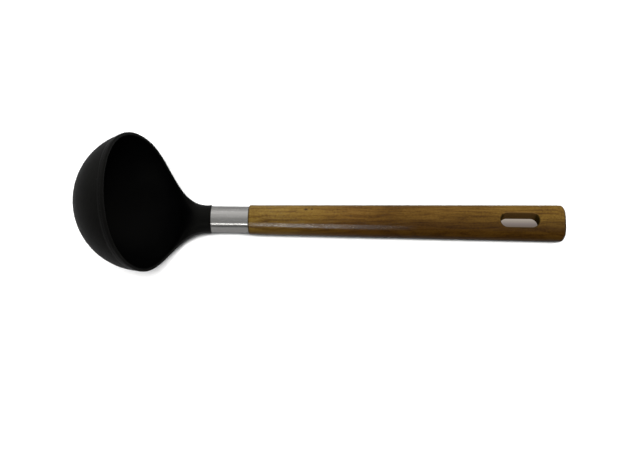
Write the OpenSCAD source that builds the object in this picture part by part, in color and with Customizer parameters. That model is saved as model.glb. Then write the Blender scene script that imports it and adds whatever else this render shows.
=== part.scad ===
// Soup ladle lying on a table, millimetres.
// The handle runs along +Y, the bowl is at the -Y end and its mouth looks back over the handle.

/* [Bowl] */
// Outside diameter of the bowl
bowl_d = 91; // [76:0.5:110]
// Thickness of the bowl wall
bowl_wall = 2.2; // [1.6:0.1:3]
// Angle that the mouth's axis rises above the handle
mouth_tilt = 25; // [18:0.5:34]
// Depth that the rim line bows below a straight line from the lip to the neck
rim_bow = 3.6; // [0:0.1:7]
// Height of the raised band that runs below the rim
band_h = 2.2; // [1.4:0.1:2.4]
// Amount that the band stands proud of the bowl
band_step = 0.35; // [0.2:0.05:0.6]
// Height below the rim of the fine second line that runs beneath the band
line_h = 4.2; // [3:0.1:6]
// Amount that the strip between that line and the band stands proud
line_step = 0.12; // [0.05:0.01:0.15]
// Height of the rounding on the rim
rim_round = 0.8; // [0.4:0.1:1.2]

/* [Neck] */
// Distance along the handle from the bowl's centre to the end of the neck
neck_reach = 40; // [36:0.5:60]
// Diameter of the neck
neck_d = 18.6; // [15:0.1:22]
// Length of the straight round end of the neck
neck_straight = 3.5; // [2:0.5:8]
// Amount that the lip at the end of the neck stands proud, all round
neck_lip_proud = 0.2; // [0.1:0.05:1]
// Length of that lip
neck_lip_l = 1.2; // [0.8:0.1:3]

/* [Ferrule] */
// Outside diameter of the steel ferrule
ferrule_d = 17.5; // [15:0.1:21]
// Length of the ferrule
ferrule_l = 25; // [18:0.5:36]
// Thickness of the ferrule's wall
ferrule_wall = 0.8; // [0.5:0.1:1.5]
// Rounding on the ferrule's edges
ferrule_edge = 0.3; // [0.1:0.05:0.4]

/* [Joint] */
// Length of the neck's spigot inside the ferrule, which the wooden tenon fills from the other side
spigot_l = 11; // [6:0.5:12]
// Diameter of the tang that runs into the handle
tang_d = 8; // [5:0.1:10]
// Length of the tang past the end of the spigot
tang_l = 46; // [20:1:90]
// Number of glue grooves round the tang, spread evenly along it
tang_grooves = 4; // [0:1:6]
// Depth of a glue groove
tang_groove_depth = 0.5; // [0.2:0.1:1]
// Space between the tang and its bore, all round
glue_gap = 0.2; // [0.1:0.05:0.4]
// Space between the ferrule and what it slides over, all round
slip_gap = 0.05; // [0.02:0.01:0.1]

/* [Handle] */
// Length of the wooden handle from the ferrule to its end
handle_l = 209.5; // [150:0.5:280]
// Diameter of the handle where it meets the ferrule
handle_front_d = 19.4; // [18:0.1:24]
// Width of the handle at its far end
handle_end_w = 24.6; // [22:0.1:32]
// Thickness of the handle at its far end
handle_end_t = 12.6; // [11:0.1:17]
// Squareness of the section at the far end, where 2 is an ellipse
handle_squareness = 2.8; // [2:0.1:4]
// Rounding on the front edge of the handle
handle_front_edge = 1; // [0.5:0.1:1.5]
// Length over which the corners of the far end round off
end_round_l = 4; // [3:0.5:10]
// Width of the flat that the round corners leave on the far end
end_flat_w = 12.6; // [4:0.2:14]
// Rounding between the faces and the far end
end_edge = 2.4; // [1:0.1:3]

/* [Hanging slot] */
// Length of the slot
slot_l = 25.5; // [15:0.5:40]
// Width of the slot
slot_w = 9.9; // [5:0.1:12]
// Distance from the far end of the handle to the middle of the slot
slot_inset = 30.3; // [24:0.1:45]

/* [Hidden] */
$fn = 96;

nylon_black = [0.09, 0.09, 0.09];
brushed_steel = [0.72, 0.72, 0.70];
acacia = [0.50, 0.33, 0.17];

// The axis frame has its origin where the neck ends, with y along the middle of the handle.
bowl_r = bowl_d / 2;
neck_r = neck_d / 2;
handle_start = ferrule_l;
handle_stop = handle_start + handle_l;
// The handle tapers, so its middle leans by this much when its underside lies on the table.
lean_slope = (handle_front_d - handle_end_t) / 2 / handle_l;
lean = atan(lean_slope);
// The table line passes under the handle, and the bowl's body below the band stands on the same line.
body_r = bowl_r - band_step;
table_at_bowl = -handle_front_d / 2 - lean_slope * (neck_reach + handle_start);
bowl_c = [0, -neck_reach, table_at_bowl + body_r / cos(lean)];
// Where the origin lies once the ladle is laid on the table, halfway along it.
table_drop = handle_front_d / 2 * cos(lean) + handle_start * sin(lean);
bowl_y = bowl_c.y * cos(lean) + bowl_c.z * sin(lean);
stop_y = handle_stop * cos(lean) + (handle_end_t / 2 - end_edge) * sin(lean);
middle_y = (bowl_y - body_r + stop_y) / 2;

// Directions in the plane of symmetry: to the tip of the lip, and out of the mouth
tip_angle = 90 + mouth_tilt;
function in_plane(angle) = [0, cos(angle), sin(angle)];
tip_dir = in_plane(tip_angle);
mouth_dir = in_plane(mouth_tilt);

// Stations run from the tip of the lip round the bowl, then along the flare and the neck.
// The edges leave the bowl after this turn, and the keel leaves it where it stands on the table.
bowl_stop_angle = 100;
keel_stop_angle = 270 + lean - tip_angle;
bowl_steps = 22;
flare_steps = 18;
arc_steps = 15;
lip_steps = 4;
// How far the bowl's lines lead into the flare, as a turn round the bowl, and the neck's as a length
edge_lead_angle = 31;
keel_lead_angle = 24;
edge_run = 18.7;
keel_run = 23;
// Squareness of the rounding on the rim
rim_squareness = 0.6;

// Where the lines of the bowl end on the round neck, as angles above the horizontal
line_angle = -38;
strip_angle = -34;
groove_angle = -28;
band_angle = -20;
rim_angle = 12;
keel_angle = -90;
floor_angle = 90;

// A rail is a line along the head: its sphere's radius, its depth below the rim and its angle on the neck.
strip_r = body_r + line_step;
line_depth = line_h + line_step;
line_rail = [body_r, line_depth, line_angle];
strip_rail = [strip_r, line_h, strip_angle];
groove_rail = [strip_r, band_h + band_step, groove_angle];
band_rail = [bowl_r, band_h, band_angle];
outer_rail = [bowl_r, rim_round, -rim_angle];
inner_rail = [bowl_r - bowl_wall, rim_round, rim_angle];
keel_rail = [body_r, line_depth, keel_angle];
floor_rail = [bowl_r - bowl_wall, rim_round, floor_angle];
function in_mid_plane(rail) = rail[2] == keel_angle || rail[2] == floor_angle;

// A point of an edge rail on its sphere, a degrees round from the tip of the lip
function edge_on_bowl(rail, a) =
    let (r = rail[0], depth = rail[1])
    let (down = depth + rim_bow * pow(sin(a), 2))
    let (along = sqrt(r * r - depth * depth) * cos(a))
    let (half = sqrt(max(0, r * r - along * along - down * down)))
    bowl_c + along * tip_dir - down * mouth_dir + [half, 0, 0];

// A point of a rail in the plane of symmetry, which starts where the edge rail crosses that plane
function keel_on_bowl(rail, a) =
    let (along = a / bowl_stop_angle, start = asin(rail[1] / rail[0]))
    bowl_c + rail[0] * in_plane(tip_angle + keel_stop_angle * along + start * (1 + cos(180 * along)) / 2);

function on_bowl(rail, a) = in_mid_plane(rail) ? keel_on_bowl(rail, a) : edge_on_bowl(rail, a);

// A point on the straight end of the neck
function on_neck(rail, y) = [neck_r * cos(rail[2]), y, neck_r * sin(rail[2])];

function bezier(p, q, r, s, u) =
    pow(1 - u, 3) * p + 3 * u * pow(1 - u, 2) * q + 3 * u * u * (1 - u) * r + pow(u, 3) * s;

// The flare: a curve that leaves the bowl along its surface and arrives along the neck
function on_flare(rail, u) =
    let (from = on_bowl(rail, bowl_stop_angle))
    let (turn = from - on_bowl(rail, bowl_stop_angle - 1))
    let (to = on_neck(rail, -neck_straight))
    bezier(from, from + turn * (in_mid_plane(rail) ? keel_lead_angle : edge_lead_angle),
        to - [0, in_mid_plane(rail) ? keel_run : edge_run, 0], to, u);

function rail_points(rail) = concat(
    [for (i = [0 : bowl_steps]) on_bowl(rail, bowl_stop_angle * i / bowl_steps)],
    [for (i = [1 : flare_steps]) on_flare(rail, i / flare_steps)],
    [on_neck(rail, -neck_lip_l / 2)]
);

line_edge = rail_points(line_rail);
strip_edge = rail_points(strip_rail);
groove_edge = rail_points(groove_rail);
band_edge = rail_points(band_rail);
outer_edge = rail_points(outer_rail);
inner_edge = rail_points(inner_rail);
keel_line = rail_points(keel_rail);
floor_line = rail_points(floor_rail);
stations = len(keel_line);

// The rounding rises out of the mouth on the bowl and points sideways on the neck.
neck_bulge = neck_r * (1 - cos(inner_rail[2]));
function smooth(u) = u * u * (3 - 2 * u);
function round_up(i) =
    let (u = smooth(min(1, max(0, (i - bowl_steps) / flare_steps))))
    (1 - u) * rim_round * mouth_dir + u * [neck_bulge, 0, 0];

// The arc of a circle from a point in the plane of symmetry to a point on a rail beside it
function arc_to_edge(mid, edge) =
    let (chord = [0, edge.y, edge.z], rise = norm(mid - chord))
    let (half_turn = max(0.1, 2 * atan2(rise, edge.x)))
    [for (k = [0 : arc_steps])
        let (a = half_turn * k / arc_steps)
        let (x = edge.x * sin(a) / sin(half_turn))
        let (g = (cos(a) - cos(half_turn)) / (1 - cos(half_turn)))
        chord + (mid - chord) * g + [x, 0, 0]];

// The rounded rim from its outer edge to its inner edge
function squared(v) = sign(v) * pow(abs(v), rim_squareness);
function rim_arc(i) =
    let (middle = (outer_edge[i] + inner_edge[i]) / 2)
    let (half = (outer_edge[i] - inner_edge[i]) / 2)
    [for (k = [0 : lip_steps])
        let (a = 180 * k / lip_steps)
        middle + half * squared(cos(a)) + round_up(i) * squared(sin(a))];

function reversed(list) = [for (k = [len(list) - 1 : -1 : 0]) list[k]];

// One side of a section, from the keel over the rim to the floor of the bowl
function band_points(i) = [strip_edge[i], groove_edge[i], band_edge[i]];
function half_section(i) = concat(
    arc_to_edge(keel_line[i], line_edge[i]),
    band_points(i),
    rim_arc(i),
    [for (k = [1 : arc_steps]) reversed(arc_to_edge(floor_line[i], inner_edge[i]))[k]]
);

function mirrored(p) = [-p.x, p.y, p.z];
function section(i) =
    let (side = half_section(i), last = len(side) - 1)
    concat(side, [for (k = [last - 1 : -1 : 1]) mirrored(side[k])]);

// At the tip both sides meet, so the first section is a single line across the rim.
tip_points = concat([line_edge[0]], band_points(0), rim_arc(0));
tip_last = len(tip_points) - 1;
side_last = 2 * arc_steps + tip_last;
ring_n = side_last * 2;

function tip_index(j) =
    let (k = j > side_last ? ring_n - j : j)
    min(tip_last, max(0, k - arc_steps));
function head_index(i, j) = i == 0 ? tip_index(j % ring_n) : len(tip_points) + (i - 1) * ring_n + j % ring_n;

// The two triangles between neighbouring sections, split alike on both sides of the ladle
function patch(i, j) =
    let (a = head_index(i, j), b = head_index(i, j + 1))
    let (c = head_index(i + 1, j + 1), d = head_index(i + 1, j))
    a == b ? [[a, c, d]]
    : j < side_last ? [[a, b, c], [a, c, d]]
    : [[a, b, d], [b, c, d]];

head_points = concat(tip_points, [for (i = [1 : stations - 1]) each section(i)]);
head_faces = concat(
    [for (i = [0 : stations - 2]) for (j = [0 : ring_n - 1]) each patch(i, j)],
    [[for (j = [ring_n - 1 : -1 : 0]) head_index(stations - 1, j)]]
);

// The spigot and the tenon fill the ferrule's bore, and the tang runs on in the handle's bore.
neck_lip_d = neck_d + 2 * neck_lip_proud;
ferrule_bore_d = ferrule_d - 2 * ferrule_wall;
plug_d = ferrule_bore_d - 2 * slip_gap;
tenon_start = spigot_l + glue_gap;
bore_d = tang_d + 2 * glue_gap;
tang_stop = spigot_l + tang_l;
tang_tip = 1.5;
tang_groove_l = 2;
tang_groove_pitch = tang_l / (tang_grooves + 1);
bore_spare = 2;
bore_stop = tang_stop + bore_spare;
edge_steps = 4;
quarter_turn = 90;

// The handle's section is an ellipse that grows squarer toward the far end.
section_n = 44;
front_steps = 4;
body_steps = 14;
end_steps = 7;

function share(y) = (y - handle_start) / handle_l;
function half_w(y) = (handle_front_d + (handle_end_w - handle_front_d) * share(y)) / 2;
function half_t(y) = (handle_front_d + (handle_end_t - handle_front_d) * share(y)) / 2;
function squareness(y) = 2 + (handle_squareness - 2) * share(y);

// Each handle station is its place, its half width and its half thickness.
function front_station(a) =
    let (y = handle_start + handle_front_edge * (1 - cos(a)), cut = handle_front_edge * (1 - sin(a)))
    [y, half_w(y) - cut, half_t(y) - cut];
function body_station(u) =
    let (y = handle_start + handle_front_edge + u * (handle_l - handle_front_edge - end_round_l))
    [y, half_w(y), half_t(y)];
function end_station(a) =
    let (y = handle_stop - end_round_l * (1 - sin(a)), left = handle_stop - y)
    let (cut = left < end_edge ? end_edge - sqrt(pow(end_edge, 2) - pow(end_edge - left, 2)) : 0)
    [y, end_flat_w / 2 + (half_w(y) - end_flat_w / 2) * cos(a), half_t(y) - cut];

handle_stations = concat(
    [for (k = [0 : front_steps - 1]) front_station(quarter_turn * k / front_steps)],
    [for (k = [0 : body_steps]) body_station(k / body_steps)],
    [for (k = [1 : end_steps]) end_station(quarter_turn * k / end_steps)]
);

function oval(station) =
    let (power = 2 / squareness(station[0]))
    [for (k = [0 : section_n - 1])
        let (a = 360 * k / section_n, c = cos(a), s = sin(a))
        [station[1] * sign(c) * pow(abs(c), power), station[0], station[2] * sign(s) * pow(abs(s), power)]];

handle_points = [for (station = handle_stations) each oval(station)];
handle_rings = len(handle_stations);
handle_faces = concat(
    [[for (k = [section_n - 1 : -1 : 0]) k]],
    [for (i = [0 : handle_rings - 2]) for (k = [0 : section_n - 1])
        let (next = (k + 1) % section_n)
        let (a = i * section_n + k, b = i * section_n + next, c = b + section_n, d = a + section_n)
        each [[a, b, c], [a, c, d]]],
    [[for (k = [0 : section_n - 1]) (handle_rings - 1) * section_n + k]]
);

// Lays a piece drawn in the axis frame on the table.
module lay() {
    translate([0, -middle_y, table_drop])
        rotate([-lean, 0, 0])
            children();
}

// Turns a profile drawn as radius and distance along the handle.
module turned() {
    rotate([-90, 0, 0])
        rotate_extrude()
            children();
}

module stem_profile() {
    difference() {
        polygon([
            [0, -neck_lip_l], [neck_lip_d / 2, -neck_lip_l], [neck_lip_d / 2, 0],
            [plug_d / 2, 0], [plug_d / 2, spigot_l], [tang_d / 2, spigot_l],
            [tang_d / 2, tang_stop - tang_tip], [tang_d / 2 - tang_tip, tang_stop], [0, tang_stop]
        ]);
        for (k = [1 : 1 : tang_grooves])
            translate([tang_d / 2 - tang_groove_depth, spigot_l + k * tang_groove_pitch - tang_groove_l / 2])
                square([tang_d, tang_groove_l]);
    }
}

module head() {
    color(nylon_black)
        lay() {
            polyhedron(head_points, head_faces, convexity = 6);
            turned() stem_profile();
        }
}

// Points of a quarter circle round a centre, starting at an angle
function quarter(x, y, r, from) = [
    for (k = [0 : edge_steps])
        let (a = from + quarter_turn * k / edge_steps)
        [x + r * cos(a), y + r * sin(a)]];

module ferrule() {
    edge_x = ferrule_d / 2 - ferrule_edge;
    color(brushed_steel)
        lay() turned() polygon(concat(
            [[ferrule_bore_d / 2, 0]],
            quarter(edge_x, ferrule_edge, ferrule_edge, -quarter_turn),
            quarter(edge_x, ferrule_l - ferrule_edge, ferrule_edge, 0),
            [[ferrule_bore_d / 2, ferrule_l]]
        ));
}

module slot_cut() {
    depth = handle_front_d * 2;
    reach = slot_l / 2 - slot_w / 2;
    translate([0, stop_y - middle_y - slot_inset, 0]) {
        for (side = [-1, 1])
            translate([0, side * reach, -depth / 2])
                cylinder(h = depth, d = slot_w);
        translate([-slot_w / 2, -reach, -depth / 2])
            cube([slot_w, 2 * reach, depth]);
    }
}

module handle() {
    color(acacia)
        difference() {
            lay() {
                polyhedron(handle_points, handle_faces, convexity = 2);
                turned() translate([0, tenon_start])
                    square([plug_d / 2, handle_start + handle_front_edge - tenon_start]);
            }
            lay() turned() square([bore_d / 2, bore_stop]);
            slot_cut();
        }
}

head();
ferrule();
handle();
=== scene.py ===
"""Looks for the soup ladle: moulded nylon head, brushed ferrule and oiled acacia handle."""
import math

import bmesh
import bpy
import numpy as np
from mathutils import Matrix, Vector


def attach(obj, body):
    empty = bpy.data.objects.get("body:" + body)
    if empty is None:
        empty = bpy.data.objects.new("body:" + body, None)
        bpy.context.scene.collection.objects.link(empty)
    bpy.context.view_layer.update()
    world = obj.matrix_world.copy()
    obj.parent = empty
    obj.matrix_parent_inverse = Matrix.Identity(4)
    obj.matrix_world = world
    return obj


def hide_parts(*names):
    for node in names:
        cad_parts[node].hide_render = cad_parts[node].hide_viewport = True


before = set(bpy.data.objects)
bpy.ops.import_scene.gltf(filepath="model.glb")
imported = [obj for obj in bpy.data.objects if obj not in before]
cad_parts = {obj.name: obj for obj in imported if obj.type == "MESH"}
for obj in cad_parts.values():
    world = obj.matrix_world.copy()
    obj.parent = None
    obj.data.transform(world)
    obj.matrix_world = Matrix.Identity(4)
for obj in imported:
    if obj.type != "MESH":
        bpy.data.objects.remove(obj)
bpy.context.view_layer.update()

# Sizes of the part, in millimetres
BOWL_R = 45.5
WALL = 2.2
RIM_BOW = 3.6
RIM_ROUND = 0.8
BAND_H = 2.2
BAND_STEP = 0.35      # the band round the rim stands this far proud of the bowl's body
LINE_H = 4.2          # depth of the fine second line below the rim
LINE_STEP = 0.12
STEP_ROUND = 0.06     # rounding of these two steps
NECK_REACH = 40.0
NECK_R = 9.3
NECK_STRAIGHT = 3.5
LIP_R = 9.5
LIP_L = 1.2
LIP_EDGE = 0.12
FERRULE_L = 25.0
PLUG_R = 7.9          # the spigot and the tenon, which both fill the ferrule
SPIGOT_L = 11.0
TANG_R = 4.0
TANG_L = 46.0
TANG_CHAMFER = 1.5
GROOVES = 4
GROOVE_HALF_L = 1.0
GROOVE_DEPTH = 0.5
GLUE_GAP = 0.2
BORE_SPARE = 2.0
HANDLE_L = 209.5
FRONT_R = 9.7
FRONT_EDGE = 1.0
END_HALF_W = 12.3
END_HALF_T = 6.3
END_ROUND_L = 4.0
END_FLAT = 6.3        # half the width of the flat that the round corners leave
END_EDGE = 2.4
SLOT_HALF_W = 4.95
SLOT_STRAIGHT = 7.8   # half the length of the slot's straight sides
SLOT_INSET = 30.3
SLOT_EDGE = 0.55
MM = 0.001            # one millimetre in metres, the unit of the scene

# Shapes without a length: an angle in degrees, and the powers of squarish ovals
MOUTH_TILT = 25.0
SQUARENESS = 2.8
RIM_POWER = 0.6

# Worked out in the handle's own frame, whose origin is at the end of the neck
BODY_R = BOWL_R - BAND_STEP
TANG_STOP = SPIGOT_L + TANG_L
HANDLE_STOP = FERRULE_L + HANDLE_L
SLOT_MIDDLE = HANDLE_STOP - SLOT_INSET
LEAN = math.atan((FRONT_R - END_HALF_T) / HANDLE_L)
TABLE_UNDER_BOWL = -FRONT_R - math.tan(LEAN) * (NECK_REACH + FERRULE_L)
BOWL_C = np.array([0.0, -NECK_REACH, TABLE_UNDER_BOWL + BODY_R / math.cos(LEAN)])

# Worked out along the table, where the origin is halfway along the ladle
TABLE_DROP = FRONT_R * math.cos(LEAN) + FERRULE_L * math.sin(LEAN)
BOWL_Y = BOWL_C[1] * math.cos(LEAN) + BOWL_C[2] * math.sin(LEAN)
STOP_Y = HANDLE_STOP * math.cos(LEAN) + (END_HALF_T - END_EDGE) * math.sin(LEAN)
MIDDLE_Y = (BOWL_Y - BODY_R + STOP_Y) / 2
FRONT_FACE_Y = FERRULE_L * math.cos(LEAN) - MIDDLE_Y
SLOT_Y = SLOT_MIDDLE / math.cos(LEAN) - MIDDLE_Y
END_FACE_Y = STOP_Y - MIDDLE_Y


def laid(points):
    """Points of the handle's own frame, in mm, laid on the table, in metres."""
    p = np.asarray(points, float)
    c, s = math.cos(LEAN), math.sin(LEAN)
    out = np.empty_like(p)
    out[..., 0] = p[..., 0]
    out[..., 1] = p[..., 1] * c + p[..., 2] * s - MIDDLE_Y
    out[..., 2] = -p[..., 1] * s + p[..., 2] * c + TABLE_DROP
    return out * MM


def mesh_object(name, points, faces):
    mesh = bpy.data.meshes.new(name)
    mesh.from_pydata([tuple(p) for p in points], [], [tuple(f) for f in faces])
    mesh.validate()
    mesh.shade_smooth()
    obj = bpy.data.objects.new(name, mesh)
    bpy.context.scene.collection.objects.link(obj)
    return obj


# Head: rails run along it, and each cross-section is an arc outside, the rim and an arc inside
BOWL_STEPS, FLARE_STEPS = 84, 60
OUTER_STEPS, INNER_STEPS, RIM_STEPS = 44, 40, 10
CORNER_STEPS = 4
TIP_ANGLE = math.radians(90 + MOUTH_TILT)
KEEL_TURN = 1.5 * math.pi + LEAN - TIP_ANGLE
BOWL_STOP = 100.0     # angle round from the tip of the lip at which the rails leave the bowl
EDGE_LEAD, KEEL_LEAD = 31.0, 24.0
EDGE_RUN, KEEL_RUN = 18.7, 23.0
RIM_ANGLE, KEEL_ANGLE, FLOOR_ANGLE = 12.0, -90.0, 90.0

# The rails outside, from the lowest up: radius, depth below the rim, and angle on the round neck
EDGE_RAILS = [
    (BODY_R, LINE_H + STEP_ROUND, -38),
    (BODY_R + LINE_STEP, LINE_H - STEP_ROUND, -37),
    (BODY_R + LINE_STEP, BAND_H + 3 * STEP_ROUND, -28),
    (BODY_R + LINE_STEP / 3, BAND_H + 2 * STEP_ROUND, -27),
    (BOWL_R - STEP_ROUND, BAND_H, -26),
    (BOWL_R, BAND_H - STEP_ROUND, -25),
    (BOWL_R, (BAND_H + RIM_ROUND) / 2, -18),
    (BOWL_R, RIM_ROUND, -RIM_ANGLE),
]


def in_plane(a):
    """Direction in the plane of symmetry, a radians up from the handle's direction."""
    a = np.asarray(a, float)
    return np.stack([np.zeros_like(a), np.cos(a), np.sin(a)], -1)


TIP_DIR = in_plane(TIP_ANGLE)
MOUTH_DIR = in_plane(math.radians(MOUTH_TILT))


def on_edge(r, depth, a):
    """A point of an edge rail on its sphere, a degrees round from the tip of the lip."""
    a = np.radians(a)
    down = depth + RIM_BOW * np.sin(a) ** 2
    along = math.sqrt(r * r - depth * depth) * np.cos(a)
    side = np.zeros(np.shape(a) + (3,))
    side[..., 0] = np.sqrt(np.maximum(0, r * r - along ** 2 - down ** 2))
    return BOWL_C + along[..., None] * TIP_DIR - down[..., None] * MOUTH_DIR + side


def on_keel(r, depth, a):
    """The same for a rail in the plane of symmetry, which ends where the bowl stands on the table."""
    along = np.asarray(a, float) / BOWL_STOP
    start = math.asin(depth / r) * (1 + np.cos(np.pi * along)) / 2
    return BOWL_C + r * in_plane(TIP_ANGLE + KEEL_TURN * along + start)


def rail(r, depth, neck_angle, keel=False):
    """A line along the head from the tip of the lip to the round end of the neck."""
    on_bowl = on_keel if keel else on_edge
    lead, run = (KEEL_LEAD, KEEL_RUN) if keel else (EDGE_LEAD, EDGE_RUN)
    first = on_bowl(r, depth, np.linspace(0, BOWL_STOP, BOWL_STEPS + 1))
    start = on_bowl(r, depth, np.array(BOWL_STOP))
    turn = start - on_bowl(r, depth, np.array(BOWL_STOP - 1))
    g = math.radians(neck_angle)
    end = np.array([0.0 if keel else NECK_R * math.cos(g), -NECK_STRAIGHT, NECK_R * math.sin(g)])
    leave = start + turn * lead
    arrive = end - np.array([0, run, 0])
    u = np.linspace(0, 1, FLARE_STEPS + 1)[1:, None]
    flare = (1 - u) ** 3 * start + 3 * u * (1 - u) ** 2 * leave + 3 * u * u * (1 - u) * arrive + u ** 3 * end
    straight = [end + np.array([0, (NECK_STRAIGHT - LIP_L) * k, 0]) for k in (0.5, 1.0)]
    return np.concatenate([first, flare, straight])


def arc(mid, edge, steps):
    """The circle's arc from a point in the plane of symmetry to a point beside it."""
    flattest, narrowest = math.radians(0.1), 1e-9
    chord = np.array([0, edge[1], edge[2]])
    half_turn = max(flattest, 2 * math.atan2(np.linalg.norm(mid - chord), max(edge[0], narrowest)))
    a = np.linspace(0, half_turn, steps + 1)[:, None]
    toward_mid = (np.cos(a) - math.cos(half_turn)) / (1 - math.cos(half_turn))
    x = edge[0] * np.sin(a) / math.sin(half_turn)
    return chord + (mid - chord) * toward_mid + x * np.array([1.0, 0, 0])


def rim_points(outer, inner, up):
    """The rounded rim, half a squarish oval from the outer edge to the inner one."""
    middle, half = (outer + inner) / 2, (outer - inner) / 2
    points = []
    for k in range(1, RIM_STEPS + 1):
        a = math.pi * k / RIM_STEPS
        across = math.copysign(abs(math.cos(a)) ** RIM_POWER, math.cos(a))
        points.append(middle + half * across + up * abs(math.sin(a)) ** RIM_POWER)
    return points


def half_sections():
    """The +X half of every cross-section of the head, from the keel over the rim to the bowl's floor."""
    edges = [rail(*values) for values in EDGE_RAILS]
    keel = rail(BODY_R, LINE_H + STEP_ROUND, KEEL_ANGLE, keel=True)
    inner = rail(BOWL_R - WALL, RIM_ROUND, RIM_ANGLE)
    floor_line = rail(BOWL_R - WALL, RIM_ROUND, FLOOR_ANGLE, keel=True)
    bulge = np.array([NECK_R * (1 - math.cos(math.radians(RIM_ANGLE))), 0, 0])
    halves = []
    for i in range(len(keel)):
        u = min(1.0, max(0.0, (i - BOWL_STEPS) / FLARE_STEPS))
        u = u * u * (3 - 2 * u)
        up = (1 - u) * RIM_ROUND * MOUTH_DIR + u * bulge
        outside = arc(keel[i], edges[0][i], OUTER_STEPS)
        inside = arc(floor_line[i], inner[i], INNER_STEPS)[::-1]
        rim = rim_points(edges[-1][i], inner[i], up)
        halves.append(np.array([*outside, *[edge[i] for edge in edges[1:]], *rim, *inside[1:]]))
    return halves


def turn_on(points, faces, first, ring, profile):
    """Carries a ring on as a turned shape of (radius, distance along the handle) and closes it."""
    angles = [math.atan2(p[2], p[0]) for p in points[first:first + ring]]
    for r, y in profile:
        start = len(points)
        points.extend(np.array([r * math.cos(a), y, r * math.sin(a)]) for a in angles)
        for j in range(ring):
            k = (j + 1) % ring
            faces.append((first + j, first + k, start + k, start + j))
        first = start
    faces.append([first + j for j in range(ring)])


def rounded_corner(r, y, start):
    """A quarter circle of the lip's edge round its centre, from start degrees on."""
    angles = [math.radians(start + 90 * k / CORNER_STEPS) for k in range(CORNER_STEPS + 1)]
    return [(r + LIP_EDGE * math.cos(a), y + LIP_EDGE * math.sin(a)) for a in angles]


def stem_profile():
    """The lip that the ferrule butts against, the spigot, and the tang with its glue grooves."""
    lip_in = LIP_R - LIP_EDGE
    profile = [(lip_in, -LIP_L), *rounded_corner(lip_in, -LIP_L + LIP_EDGE, -90)[1:],
               *rounded_corner(lip_in, -LIP_EDGE, 0), (PLUG_R, 0), (PLUG_R, SPIGOT_L), (TANG_R, SPIGOT_L)]
    groove_r = TANG_R - GROOVE_DEPTH
    for k in range(1, GROOVES + 1):
        y = SPIGOT_L + k * TANG_L / (GROOVES + 1)
        near, far = y - GROOVE_HALF_L, y + GROOVE_HALF_L
        profile += [(TANG_R, near), (groove_r, near), (groove_r, far), (TANG_R, far)]
    return profile + [(TANG_R, TANG_STOP - TANG_CHAMFER), (TANG_R - TANG_CHAMFER, TANG_STOP)]


def build_head():
    halves = half_sections()
    last = len(halves[0]) - 1
    ring = 2 * last
    # The first section is the single line across the rim at the tip of the lip.
    tip_from, tip_to = OUTER_STEPS, last - INNER_STEPS
    points, faces = [*halves[0][tip_from:tip_to + 1]], []
    for half in halves[1:]:
        points.extend(half)
        points.extend(half[last - 1:0:-1] * np.array([-1, 1, 1]))

    def index(i, j):
        j %= ring
        if i:
            return tip_to - tip_from + 1 + (i - 1) * ring + j
        k = ring - j if j > last else j
        return min(max(k, tip_from), tip_to) - tip_from

    for i in range(len(halves) - 1):
        for j in range(ring):
            a, b, c, d = index(i, j), index(i, j + 1), index(i + 1, j + 1), index(i + 1, j)
            faces.append((a, c, d) if a == b else (a, b, c, d))
    turn_on(points, faces, len(points) - ring, ring, stem_profile())
    return mesh_object("head_moulding", laid(points), faces)


# Handle: ovals along it, with a patch on the top and one below that run in to the slot
TOP_SHARE = 0.6       # share of the width that the top and bottom faces take
TOP_STEPS, SIDE_STEPS = 28, 30
FRONT_RINGS, BODY_RINGS, WINDOW_RINGS, TAIL_RINGS, END_RINGS = 7, 40, 40, 6, 24
WINDOW_HALF = 17.0    # half the length of the patch that holds the slot
PATCH_RINGS, EDGE_RINGS, WALL_RINGS = 9, 6, 5


def toward_end(front, end, y):
    return front + (end - front) * (y - FERRULE_L) / HANDLE_L


def half_w(y):
    return toward_end(FRONT_R, END_HALF_W, y)


def half_t(y):
    return toward_end(FRONT_R, END_HALF_T, y)


def power(y):
    """Power of the squarish oval at y, where 2 is an ellipse."""
    return toward_end(2, SQUARENESS, y)


def surface_z(x, y):
    n = power(y)
    return half_t(y) * max(0.0, 1 - abs(x / half_w(y)) ** n) ** (1 / n)


def handle_stations():
    """Place, half width and half thickness of each oval, and the first and last oval of the patch."""
    stations = []
    for a in np.linspace(0, math.pi / 2, FRONT_RINGS + 1)[:-1]:
        y = FERRULE_L + FRONT_EDGE * (1 - math.cos(a))
        cut = FRONT_EDGE * (1 - math.sin(a))
        stations.append((y, half_w(y) - cut, half_t(y) - cut))
    window = SLOT_MIDDLE - WINDOW_HALF, SLOT_MIDDLE + WINDOW_HALF
    marks = [*np.linspace(FERRULE_L + FRONT_EDGE, window[0], BODY_RINGS)]
    first = len(stations) + len(marks) - 1
    marks += [*np.linspace(*window, WINDOW_RINGS + 1)[1:]]
    marks += [*np.linspace(window[1], HANDLE_STOP - END_ROUND_L, TAIL_RINGS + 1)[1:]]
    stations += [(y, half_w(y), half_t(y)) for y in marks]
    for a in np.linspace(0, math.pi / 2, END_RINGS + 1)[1:]:
        y = HANDLE_STOP - END_ROUND_L * (1 - math.sin(a))
        inset = max(0.0, END_EDGE - (HANDLE_STOP - y))
        cut = END_EDGE - math.sqrt(END_EDGE ** 2 - inset ** 2)
        stations.append((y, END_FLAT + (half_w(y) - END_FLAT) * math.cos(a), half_t(y) - cut))
    return stations, first, first + WINDOW_RINGS


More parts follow.
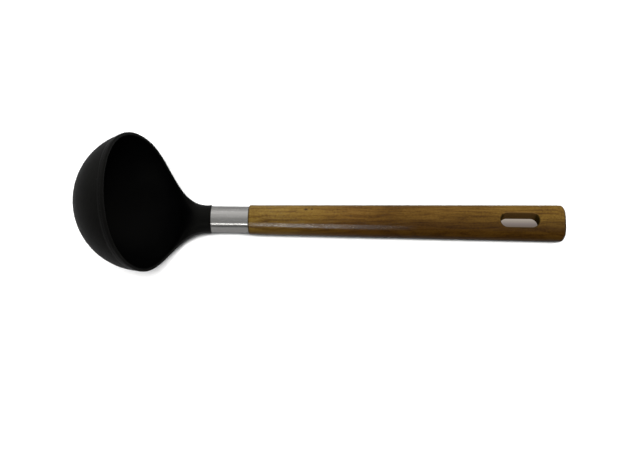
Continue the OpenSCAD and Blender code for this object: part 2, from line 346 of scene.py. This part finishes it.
def oval(y, w, t):
    """The handle's cross-section at y, from the +X side of the top face round."""
    n = power(y)
    shares = np.linspace(TOP_SHARE, -TOP_SHARE, TOP_STEPS + 1)
    top = [(x * w, t * (1 - abs(x) ** n) ** (1 / n)) for x in shares]
    top_stop = math.acos(TOP_SHARE ** (n / 2))
    side = []
    for a in np.linspace(math.pi - top_stop, math.pi + top_stop, SIDE_STEPS + 1)[1:-1]:
        c, s = math.cos(a), math.sin(a)
        side.append((math.copysign(w * abs(c) ** (2 / n), c), math.copysign(t * abs(s) ** (2 / n), s)))
    ring = top + side
    ring += [(-x, -z) for x, z in ring]
    return [np.array([x, y, z]) for x, z in ring]


def slot_outline(dx, dy):
    """Point and outward normal of the slot's outline that belongs to a point on the patch's border."""
    half = TOP_SHARE * half_w(SLOT_MIDDLE + dy)
    on_long_side = math.isclose(abs(dx), half, abs_tol=1e-6)
    run = abs(dy) if on_long_side else WINDOW_HALF + half - abs(dx)
    along = run / (WINDOW_HALF + half) * (SLOT_STRAIGHT + SLOT_HALF_W * math.pi / 2)
    turn = max(0.0, (along - SLOT_STRAIGHT) / SLOT_HALF_W)
    normal = np.array([math.copysign(math.cos(turn), dx), math.copysign(math.sin(turn), dy)])
    centre = np.array([0.0, math.copysign(min(along, SLOT_STRAIGHT), dy)])
    return centre + SLOT_HALF_W * normal, normal


def slot_column(p):
    """Points from the border of the top patch over the slot's edge, down its wall and out below."""
    outline, normal = slot_outline(p[0], p[1] - SLOT_MIDDLE)
    shift = math.tan(LEAN) * half_t(SLOT_MIDDLE)
    runs = {}
    for side in (1, -1):
        at = outline + np.array([0, SLOT_MIDDLE - side * shift])
        runs[side] = []
        for k in range(1, PATCH_RINGS + 1):
            u = k / PATCH_RINGS
            x, y = p[:2] * (1 - u) + (at + normal * SLOT_EDGE) * u
            runs[side].append(np.array([x, y, side * surface_z(x, y)]))
        for k in range(1, EDGE_RINGS + 1):
            a = math.pi / 2 * k / EDGE_RINGS
            x, y = at + normal * SLOT_EDGE * (1 - math.sin(a))
            z = surface_z(x, y) - SLOT_EDGE * (1 - math.cos(a))
            runs[side].append(np.array([x, y, side * z]))
    top, bottom = runs[1][-1], runs[-1][-1]
    wall = [top * (1 - u) + bottom * u for u in np.linspace(0, 1, WALL_RINGS + 2)[1:-1]]
    return runs[1] + wall + runs[-1][::-1]


def cut_slot(points, faces, index, first, last):
    """Fills the ring between the patch's border, on the top and below, and the slot."""
    border = [(first, j) for j in range(TOP_STEPS)] + [(i, TOP_STEPS) for i in range(first, last)]
    border += [(last, j) for j in range(TOP_STEPS, 0, -1)] + [(i, 0) for i in range(last, first, -1)]
    columns = []
    for i, j in border:
        above, below = index(i, j), index(i, 2 * TOP_STEPS + SIDE_STEPS - j)
        start = len(points)
        points.extend(slot_column(points[above]))
        columns.append([above, *range(start, len(points)), below])
    for a, b in zip(columns, columns[1:] + columns[:1]):
        faces += [(a[q], a[q + 1], b[q + 1], b[q]) for q in range(len(a) - 1)]


def build_handle():
    stations, first, last = handle_stations()
    points, faces = [], []
    for station in stations:
        points.extend(oval(*station))
    half_ring = TOP_STEPS + SIDE_STEPS
    ring = 2 * half_ring

    def index(i, j):
        return i * ring + j % ring

    for i in range(len(stations) - 1):
        for j in range(ring):
            in_patch = first <= i < last and j % half_ring < TOP_STEPS
            if not in_patch:
                faces.append((index(i, j), index(i, j + 1), index(i + 1, j + 1), index(i + 1, j)))
    end, middle = len(stations) - 1, len(points)
    points.append(np.array([0, HANDLE_STOP, 0]))
    faces += [(index(end, j), index(end, j + 1), middle) for j in range(ring)]
    cut_slot(points, faces, index, first, last)
    # The front face runs in to the tenon, and the tenon to the bore.
    tenon_y = SPIGOT_L + GLUE_GAP
    bore_r = TANG_R + GLUE_GAP
    bore = [(PLUG_R, FERRULE_L), (PLUG_R, tenon_y), (bore_r, tenon_y), (bore_r, TANG_STOP + BORE_SPARE)]
    turn_on(points, faces, 0, ring, bore)
    return mesh_object("handle_wood", laid(points), faces)


def clean_mesh(obj, merge=1e-7, sharp=math.radians(50)):
    """Turns all faces outward, drops unused points and marks the true corners as sharp."""
    bm = bmesh.new()
    bm.from_mesh(obj.data)
    bmesh.ops.remove_doubles(bm, verts=bm.verts, dist=merge)
    bmesh.ops.delete(bm, geom=[v for v in bm.verts if not v.link_faces], context="VERTS")
    bmesh.ops.recalc_face_normals(bm, faces=bm.faces)
    bm.to_mesh(obj.data)
    bm.free()
    obj.data.shade_smooth()
    obj.data.set_sharp_from_angle(angle=sharp)


head = build_head()
handle = build_handle()
for piece in (head, handle):
    clean_mesh(piece)


# Materials: places in them are in metres, in the part's frame
class Nodes:
    """A material's node tree, with short ways to add nodes and links."""

    def __init__(self, name):
        self.material = bpy.data.materials.new(name)
        self.material.use_nodes = True
        self.tree = self.material.node_tree
        self.shader = self.tree.nodes["Principled BSDF"]
        coords = self.node("ShaderNodeTexCoord")
        self.place = coords.outputs["Object"]
        self.normal = coords.outputs["Normal"]

    def node(self, kind, **values):
        """A new node, with its settings and the constants of its sockets."""
        node = self.tree.nodes.new(kind)
        for key, value in values.items():
            if hasattr(node, key):
                setattr(node, key, value)
            else:
                node.inputs[key.replace("_", " ")].default_value = value
        return node

    def put(self, socket, value):
        """Links another socket to this one, or sets this one to a constant."""
        if isinstance(value, bpy.types.NodeSocket):
            self.tree.links.new(value, socket)
        elif isinstance(value, tuple):
            socket.default_value = (*value, 1)
        else:
            socket.default_value = value

    def axes(self):
        split = self.node("ShaderNodeSeparateXYZ")
        self.put(split.inputs[0], self.place)
        return split.outputs

    def stretch(self, x, y, z, pitch=0.0, yaw=0.0):
        """Coordinates in which a texture is drawn out along the axes with small factors."""
        node = self.node("ShaderNodeMapping", vector_type="TEXTURE", Scale=(1 / x, 1 / y, 1 / z),
                         Rotation=(pitch, 0, yaw))
        self.put(node.inputs["Vector"], self.place)
        return node.outputs[0]

    def noise(self, vector, scale, detail, roughness, distortion=0.0):
        node = self.node("ShaderNodeTexNoise", Scale=scale, Detail=detail, Roughness=roughness,
                         Distortion=distortion)
        self.put(node.inputs["Vector"], vector)
        return node.outputs["Fac"]

    def span(self, value, a, b, c=0.0, d=1.0, smooth=False):
        """Carries the range a to b over to c to d, and holds it at the ends."""
        node = self.node("ShaderNodeMapRange", interpolation_type="SMOOTHSTEP" if smooth else "LINEAR",
                         From_Min=a, From_Max=b, To_Min=c, To_Max=d)
        self.put(node.inputs["Value"], value)
        return node.outputs[0]

    def math(self, operation, *values):
        node = self.node("ShaderNodeMath", operation=operation)
        for socket, value in zip(node.inputs, values):
            self.put(socket, value)
        return node.outputs[0]

    def plus(self, a, b):
        return self.math("ADD", a, b)

    def minus(self, a, b):
        return self.math("SUBTRACT", a, b)

    def times(self, a, b):
        return self.math("MULTIPLY", a, b)

    def length(self, a, b):
        return self.math("SQRT", self.plus(self.times(a, a), self.times(b, b)))

    def centred(self, value, share):
        """A share of a noise, moved so that it adds nothing on average."""
        return self.times(self.minus(value, 0.5), share)

    def ramp(self, value, stops):
        node = self.node("ShaderNodeValToRGB")
        fill_ramp(node, stops)
        self.put(node.inputs[0], value)
        return node.outputs[0]

    def mix(self, share, a, b, blend="MIX"):
        node = self.node("ShaderNodeMix", data_type="RGBA", blend_type=blend)
        for socket, value in ((node.inputs["Factor"], share), (node.inputs[6], a), (node.inputs[7], b)):
            self.put(socket, value)
        return node.outputs[2]

    def bump(self, height, distance, strength, normal=None):
        node = self.node("ShaderNodeBump", Distance=distance, Strength=strength)
        self.put(node.inputs["Height"], height)
        if normal is not None:
            self.put(node.inputs["Normal"], normal)
        return node.outputs[0]

    def openness(self, reach):
        """How open a point of the surface is, from 0 to 1, to what stands nearer than the reach."""
        return self.node("ShaderNodeAmbientOcclusion", samples=16, Distance=reach).outputs["AO"]

    def set(self, **values):
        for key, value in values.items():
            self.put(self.shader.inputs[key.replace("_", " ")], value)


def fill_ramp(node, stops):
    elements = node.color_ramp.elements
    while len(elements) < len(stops):
        elements.new(0.5)
    for element, (at, colour) in zip(elements, stops):
        element.position = at
        element.color = (*colour, 1)


def grey(value):
    return (value, value, value)


BLACK, WHITE = grey(0.0), grey(1.0)
MATT_AND_SHADE_FADE = (-0.092, -0.080)    # the bowl's matt inside, painted darker as shade, fades out along this stretch of the flare


def nylon():
    m = Nodes("black_nylon_moulded")
    cloud = m.noise(m.place, 90, 3, 0.55)
    grain = m.noise(m.place, 3800, 2, 0.6)
    pits = m.noise(m.place, 900, 3, 0.6)
    colour = m.ramp(cloud, [(0.35, (0.0015, 0.0015, 0.0015)), (0.65, (0.0022, 0.0022, 0.0021))])
    # The surfaces that look into the bowl are matt, and painted deeper black as shade, up to the start of
    # the neck.
    inward = m.node("ShaderNodeVectorMath", operation="SUBTRACT")
    inward.inputs[0].default_value = laid(BOWL_C)
    m.put(inward.inputs[1], m.place)
    facing = m.node("ShaderNodeVectorMath", operation="DOT_PRODUCT")
    m.put(facing.inputs[0], inward.outputs["Vector"])
    m.put(facing.inputs[1], m.normal)
    before_neck = m.span(m.axes()["Y"], *MATT_AND_SHADE_FADE, 1.0, 0.0, smooth=True)
    inside = m.times(m.span(facing.outputs["Value"], 0.002, 0.012, smooth=True), before_neck)
    colour = m.mix(m.times(inside, 0.55), colour, (0.0001, 0.0001, 0.0002))
    rough = m.plus(m.span(cloud, 0.3, 0.7, 0.40, 0.46), m.span(pits, 0.3, 0.7, -0.02, 0.03))
    relief = m.plus(m.times(grain, 0.6), m.times(pits, 0.4))
    m.set(Base_Color=colour, Roughness=rough, Specular_IOR_Level=m.span(inside, 0.0, 1.0, 0.075, 0.035),
          Specular_Tint=(1.0, 0.985, 0.86), Normal=m.bump(relief, 0.00003, 0.6))
    return m.material


def steel():
    m = Nodes("stainless_steel_brushed")
    lines = m.noise(m.stretch(1, 0.02, 1), 6500, 2, 0.7)
    broad = m.noise(m.stretch(1, 0.05, 1), 700, 3, 0.6)
    rough = m.plus(m.span(lines, 0.3, 0.7, 0.17, 0.27), m.span(broad, 0.3, 0.7, -0.02, 0.03))
    colour = m.ramp(broad, [(0.3, (0.47, 0.46, 0.44)), (0.7, (0.53, 0.52, 0.50))])
    m.set(Base_Color=colour, Metallic=1.0, Roughness=rough, Normal=m.bump(lines, 0.000006, 0.5))
    return m.material


# Stretches along the handle in which the acacia changes
TONE_RANGE = (-0.06, 0.15)
# Painted shade on the +X flank grows in over the next stretch and turns darker over the one after
FLANK_SHADE_GROWS = (-0.05, 0.0)
FLANK_SHADE_DARKENS = (0.11, 0.14)
ROUGHENS = (0.0, 0.09)
GLOSS_DULLS = (-0.05, 0.03)
GLOSS_STARTS = (-0.05, -0.03)
SHOULDER_WEARS = (0.005, 0.063)

# Stretches across the handle, from -X to +X, in which it changes
# Painted light brightens the -X edge over the next stretch
PAINTED_LIGHT_EDGE = (-0.0085, -0.0030)
# Painted shade darkens the +X flank from the next stretch on
FLANK_SHADE_BEGINS = (-0.0035, 0.0065)
FLANK_WEARS = (0.0066, 0.0085)
WALL_SHADES = (-0.0048, -0.0035)

# The glossy shoulder rises and falls within these shares of half the handle's width.
SHOULDER_RISES, SHOULDER_FALLS = (0.44, 0.56), (0.64, 0.78)

# In millimetres: the darkened edges of the ends (painted shade at the front), and how far raw wood and
# ground pass the slot's wall
FRONT_RIM, END_RIM = 1.6, 1.8
RAW_WOOD = (0.35, 0.65)
SLOT_GROUND = (0.3, 0.6)

# The acacia's colours, by its figure's value and by the share of the way along the handle
FIGURE_COLOURS = [
    (0.16, (0.058, 0.028, 0.0045)),
    (0.36, (0.100, 0.056, 0.0095)),
    (0.54, (0.145, 0.088, 0.0170)),
    (0.82, (0.195, 0.128, 0.0330)),
]
TONES = [
    (0.05, (1.32, 1.32, 1.25)),
    (0.18, (1.28, 1.24, 1.02)),
    (0.25, (1.02, 0.92, 0.66)),
    (0.37, (0.76, 0.61, 0.46)),
    (0.51, (0.57, 0.45, 0.28)),
    (0.72, (0.58, 0.46, 0.29)),
    (0.95, (0.82, 0.73, 0.55)),
]
# Painted shade on the +X flank: the colour is multiplied by these, the darker one toward the slot end
FLANK_SHADE, DARK_FLANK_SHADE = (0.42, 0.36, 0.25), (0.32, 0.26, 0.18)
# The dark rim colour is painted shade at the front edge and darkens the end edge
DARK_RIM, PORE, KNOT = (0.020, 0.012, 0.004), (0.022, 0.010, 0.003), (0.020, 0.009, 0.003)
SHADED_WALL, LIT_WALL = (0.035, 0.022, 0.006), (0.115, 0.062, 0.020)

# Two pin knots beside each other near the ferrule: across, along and radius
PIN_KNOTS = ((-0.0049, -0.0118, 0.0011), (-0.0051, -0.0078, 0.0008))
TOP_FACE_Z = 0.010    # above this height lies the handle's top


def slot_reach(m, across, along):
    """Distance from the straight line along the middle of the slot."""
    away = m.math("ABSOLUTE", m.minus(along, SLOT_Y * MM))
    past = m.math("MAXIMUM", m.minus(away, SLOT_STRAIGHT * MM), 0.0)
    return m.length(past, across)


def in_slot(m, across, along, edge, smooth=False):
    """One in the slot and nought outside it, fading between two distances past its wall."""
    near, far = edge
    return m.span(slot_reach(m, across, along), (SLOT_HALF_W + near) * MM, (SLOT_HALF_W + far) * MM,
                  1.0, 0.0, smooth)


def growth_rings(m, across, height, waver):
    """Late wood of the rings round a pith beside the handle, pulled about by slow waves along it."""
    slow = m.noise(m.stretch(1, 0.22, 1), 42, 2, 0.5)
    rings_per_metre = 310.0
    depth = m.plus(m.times(across, 0.92), m.times(height, 0.62))
    depth = m.plus(depth, m.plus(m.centred(slow, 0.030), m.centred(waver, 0.0045)))
    turns = m.math("FRACT", m.times(depth, rings_per_metre))
    return m.plus(m.span(turns, 0.45, 0.92, smooth=True), m.span(turns, 0.92, 1.0, 0.0, -1.0, smooth=True))


def toned(m, colour, across, along, waver):
    """Lighter and more yellow toward the ferrule, browner toward the slot, painted shade on the +X flank and
    painted light on the -X edge.
    """
    colour = m.mix(1.0, colour, m.ramp(m.span(along, *TONE_RANGE), TONES), "MULTIPLY")
    painted_shade_flank = m.span(m.plus(across, m.centred(waver, 0.008)), *FLANK_SHADE_BEGINS, smooth=True)
    painted_shade_flank = m.times(painted_shade_flank, m.span(along, *FLANK_SHADE_GROWS, 0.85, 1.0))
    flank_shade_colour = m.mix(m.span(along, *FLANK_SHADE_DARKENS), FLANK_SHADE, DARK_FLANK_SHADE)
    colour = m.mix(painted_shade_flank, colour, m.mix(1.0, colour, flank_shade_colour, "MULTIPLY"))
    # Painted light brightens the -X edge.
    return m.mix(1.0, colour, m.span(across, *PAINTED_LIGHT_EDGE, 1.25, 1.0), "MULTIPLY")


def pin_knots(m, across, along, height):
    on_top = m.math("GREATER_THAN", height, TOP_FACE_Z)
    knots = 0.0
    for x, y, radius in PIN_KNOTS:
        away = m.length(m.minus(across, x), m.times(m.minus(along, y), 0.7))
        knots = m.plus(knots, m.times(m.span(away, 0.4 * radius, radius, 1.0, 0.0, smooth=True), on_top))
    return knots


def polish(m, across, along, raw):
    """Gloss of the oil, which wears off from the ferrule toward the slot and down the darker flank."""
    width = m.span(along, FRONT_FACE_Y * MM, (FRONT_FACE_Y + HANDLE_L) * MM, FRONT_R * MM, END_HALF_W * MM)
    share = m.math("DIVIDE", across, width)
    shoulder = m.times(m.span(share, *SHOULDER_RISES, smooth=True),
                       m.span(share, *SHOULDER_FALLS, 1.0, 0.0, smooth=True))
    gloss = m.plus(m.span(along, *GLOSS_DULLS, 0.12, 0.05),
                   m.times(shoulder, m.span(along, *SHOULDER_WEARS, 0.95, 0.0)))
    gloss = m.times(gloss, m.span(along, *GLOSS_STARTS, 0.5, 1.0))
    gloss = m.times(gloss, m.span(across, *FLANK_WEARS, 1.0, 0.4))
    return m.times(gloss, m.minus(1.0, raw))


def acacia():
    m = Nodes("acacia_oiled")
    across, along, height = m.axes()
    waver = m.noise(m.stretch(1, 0.12, 0.6), 150, 2, 0.5)
    late = growth_rings(m, across, height, waver)
    fibres = m.noise(m.stretch(1, 0.022, 1), 3000, 3, 0.65)
    streaks = m.noise(m.stretch(1, 0.045, 1, pitch=0.01), 900, 4, 0.66, 0.3)
    threads = m.noise(m.stretch(1, 0.16, 1, yaw=0.05), 330, 3, 0.6, 0.6)
    patches = m.noise(m.stretch(1, 0.35, 1), 60, 3, 0.6)
    specks = m.noise(m.stretch(1, 0.62, 1, yaw=0.15), 1400, 3, 0.74)
    dashes = m.noise(m.stretch(1, 0.10, 1, yaw=0.06), 1900, 2, 0.62)
    figure = m.minus(0.53, m.times(late, 0.17))
    for value, share in ((fibres, 0.30), (streaks, 0.65), (specks, 0.95), (patches, 0.70), (threads, 0.45)):
        figure = m.plus(figure, m.centred(value, share))
    colour = toned(m, m.ramp(figure, FIGURE_COLOURS), across, along, waver)
    # The rounded edge at the front is painted dark as shade where the wood meets the ferrule, and the one at
    # the end is darker too.
    front_rim_shade = m.span(along, FRONT_FACE_Y * MM, (FRONT_FACE_Y + FRONT_RIM) * MM, 1.0, 0.0, smooth=True)
    end_rim = m.span(along, (END_FACE_Y - END_RIM) * MM, END_FACE_Y * MM, 0.0, 0.7, smooth=True)
    colour = m.mix(m.times(m.plus(front_rim_shade, end_rim), 0.75), colour, DARK_RIM)
    pores = m.span(dashes, 0.62, 0.70, smooth=True)
    colour = m.mix(m.times(pores, 0.55), colour, PORE)
    colour = m.mix(m.times(pin_knots(m, across, along, height), 0.85), colour, KNOT)
    # The slot's wall is raw wood and takes no polish; its colour is partly painted shade, lighter on the -X
    # side and darkest toward +X.
    raw = in_slot(m, across, along, RAW_WOOD, smooth=True)
    wall = m.mix(m.span(across, *WALL_SHADES, 1.0, 0.0, smooth=True), SHADED_WALL, LIT_WALL)
    colour = m.mix(m.times(raw, 0.85), colour, wall)
    rough = m.plus(m.span(along, *ROUGHENS, 0.15, 0.36), m.times(m.centred(fibres, 0.5), 0.3))
    rough = m.plus(rough, m.times(m.math("MAXIMUM", pores, raw), 0.3))
    relief = m.minus(m.times(fibres, 0.6), m.plus(pores, m.times(late, -0.15)))
    surface = m.bump(specks, 0.00017, 0.85, m.bump(relief, 0.00005, 0.6))
    m.set(Base_Color=colour, Roughness=rough, IOR=1.9, Specular_IOR_Level=polish(m, across, along, raw),
          Normal=surface)
    return m.material


def dress(obj, material):
    obj.data.materials.clear()
    obj.data.materials.append(material)


dress(head, nylon())
dress(handle, acacia())
dress(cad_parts["ferrule"], steel())

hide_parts("head")
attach(head, "root")
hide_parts("handle")
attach(handle, "root")

# Floor, light and camera: places are in metres unless a name says otherwise
FLOOR_SIZE = 8.0
LIFTED, SEEN_GREY = 0.12, 0.27
# Nearness of the ladle darkens the ground: how far it is felt, the openness it acts between, the least light
UNDER_REACH, UNDER_OPEN, UNDER_LEAST = 0.008, (0.385, 0.51), 0.08
WALLED_REACH, WALLED_OPEN, WALLED_LEAST = 0.014, (0.362, 0.47), 0.24
# Painted shade: the glowing ground inside the slot, by the share of the way across this stretch
PAINTED_SLOT_SHADE_RANGE = (-0.0050, 0.0010)
PAINTED_SLOT_SHADE = [
    (0.0, (0.40, 0.355, 0.30)),
    (0.2, (0.325, 0.282, 0.240)),
    (0.55, (0.212, 0.180, 0.165)),
    (1.0, (0.135, 0.105, 0.080)),
]
KEY_FROM, KEY_STRENGTH, KEY_SPREAD = (0.24, 0.05, 1.0), 3.2, 20
STRIP_PLACE, STRIP_AIM = (0.90, -0.090, 0.53), (0, -0.01, 0)
STRIP_SIZE, STRIP_WATTS = (0.26, 0.03), 0.50
# Brightness of the surround by the x of its direction
SURROUND = [(-1.0, 0.50), (-0.75, 0.90), (-0.5, 0.78), (-0.15, 0.62), (0.2, 0.42), (0.65, 0.32),
            (0.90, 0.27), (0.97, 0.10), (1.0, 0.08)]
CAMERA_PLACE_MM = (279.43, 37.73, 820.63)
CAMERA_FORWARD = (-0.31236, -0.04693, -0.9488)
CAMERA_RIGHT = (-0.02208, 0.99887, -0.04214)
FOCAL_PX, PHOTO_WIDTH_PX = 1292.0, 640
SENSOR_MM = 36


def floor():
    bpy.ops.mesh.primitive_plane_add(size=FLOOR_SIZE, location=(0, 0, 0))
    plane = bpy.context.active_object
    plane.name = "floor"
    m = Nodes("pale_floor")
    paper = m.ramp(m.noise(m.place, 6, 2, 0.5), [(0.3, grey(0.90)), (0.7, grey(0.93))])
    # The photograph's white ground is overexposed, so it is lifted for the eye but not for what it lights.
    seen = m.node("ShaderNodeLightPath").outputs["Is Camera Ray"]
    # Such an exposure leaves only the tightest shade, close to where the ladle rests.
    under = m.openness(UNDER_REACH)
    walled = m.openness(WALLED_REACH)
    shade = m.math("MINIMUM", m.span(under, *UNDER_OPEN, UNDER_LEAST, 1.0),
                   m.span(walled, *WALLED_OPEN, WALLED_LEAST, 1.0, smooth=True))
    paper = m.mix(shade, BLACK, paper)
    # The ground inside the slot is painted shade that glows, darker from its -X side to its +X side.
    x, y = m.axes()[:2]
    inside = in_slot(m, x, y, SLOT_GROUND)
    painted_slot_shade = m.ramp(m.span(x, *PAINTED_SLOT_SHADE_RANGE), PAINTED_SLOT_SHADE)
    paper = m.mix(inside, paper, BLACK)
    lift = m.math("MAXIMUM", inside, m.times(shade, LIFTED))
    m.set(Base_Color=m.mix(seen, grey(SEEN_GREY), paper), Roughness=0.9, Specular_IOR_Level=0.0,
          Emission_Color=m.mix(inside, WHITE, painted_slot_shade), Emission_Strength=m.times(seen, lift))
    dress(plane, m.material)


def place_lamp(name, data, place, aim):
    obj = bpy.data.objects.new(name, data)
    obj.location = place
    obj.rotation_mode = "QUATERNION"
    obj.rotation_quaternion = (Vector(aim) - Vector(place)).to_track_quat("-Z", "Y")
    obj.visible_camera = False
    bpy.context.scene.collection.objects.link(obj)
    return obj


def key_light():
    """A broad, far light, so that the whole floor is lit alike; its own disc isn't mirrored."""
    data = bpy.data.lights.new("key", "SUN")
    data.energy = KEY_STRENGTH
    data.angle = math.radians(KEY_SPREAD)
    place_lamp("key", data, KEY_FROM, (0, 0, 0)).visible_glossy = False


def strip_light():
    """A narrow lamp beside the ladle, whose mirror image is the streak along ferrule and handle."""
    data = bpy.data.lights.new("strip", "AREA")
    data.shape = "RECTANGLE"
    data.size, data.size_y = STRIP_SIZE
    data.energy = STRIP_WATTS
    place_lamp("strip", data, STRIP_PLACE, STRIP_AIM)


def surround():
    """A dim surround that is paler on the -X side, with a plain white backdrop for the camera."""
    world = bpy.data.worlds.new("studio")
    bpy.context.scene.world = world
    world.use_nodes = True
    nodes, links = world.node_tree.nodes, world.node_tree.links
    split = nodes.new("ShaderNodeSeparateXYZ")
    share = nodes.new("ShaderNodeMapRange")
    share.inputs["From Min"].default_value = -1
    ramp = nodes.new("ShaderNodeValToRGB")
    fill_ramp(ramp, [((x + 1) / 2, grey(value)) for x, value in SURROUND])
    mix = nodes.new("ShaderNodeMix")
    mix.data_type = "RGBA"
    mix.inputs[7].default_value = (*WHITE, 1)
    links.new(nodes.new("ShaderNodeTexCoord").outputs["Generated"], split.inputs[0])
    links.new(split.outputs["X"], share.inputs["Value"])
    links.new(share.outputs[0], ramp.inputs[0])
    links.new(nodes.new("ShaderNodeLightPath").outputs["Is Camera Ray"], mix.inputs["Factor"])
    links.new(ramp.outputs[0], mix.inputs[6])
    links.new(mix.outputs[2], nodes["Background"].inputs["Color"])


def camera():
    """The photograph's camera, fitted to the ladle's outline."""
    data = bpy.data.cameras.new("camera")
    data.sensor_width = SENSOR_MM
    data.lens = FOCAL_PX / PHOTO_WIDTH_PX * SENSOR_MM
    data.clip_start = 0.01
    data.clip_end = 50
    obj = bpy.data.objects.new("camera", data)
    forward, right = Vector(CAMERA_FORWARD).normalized(), Vector(CAMERA_RIGHT).normalized()
    turn = Matrix((right, right.cross(forward), -forward)).transposed()
    obj.matrix_world = Matrix.Translation(Vector(CAMERA_PLACE_MM) * MM) @ turn.to_4x4()
    bpy.context.scene.collection.objects.link(obj)
    bpy.context.scene.camera = obj


floor()
key_light()
strip_light()
surround()
camera()
bpy.context.scene.view_settings.view_transform = "Standard"
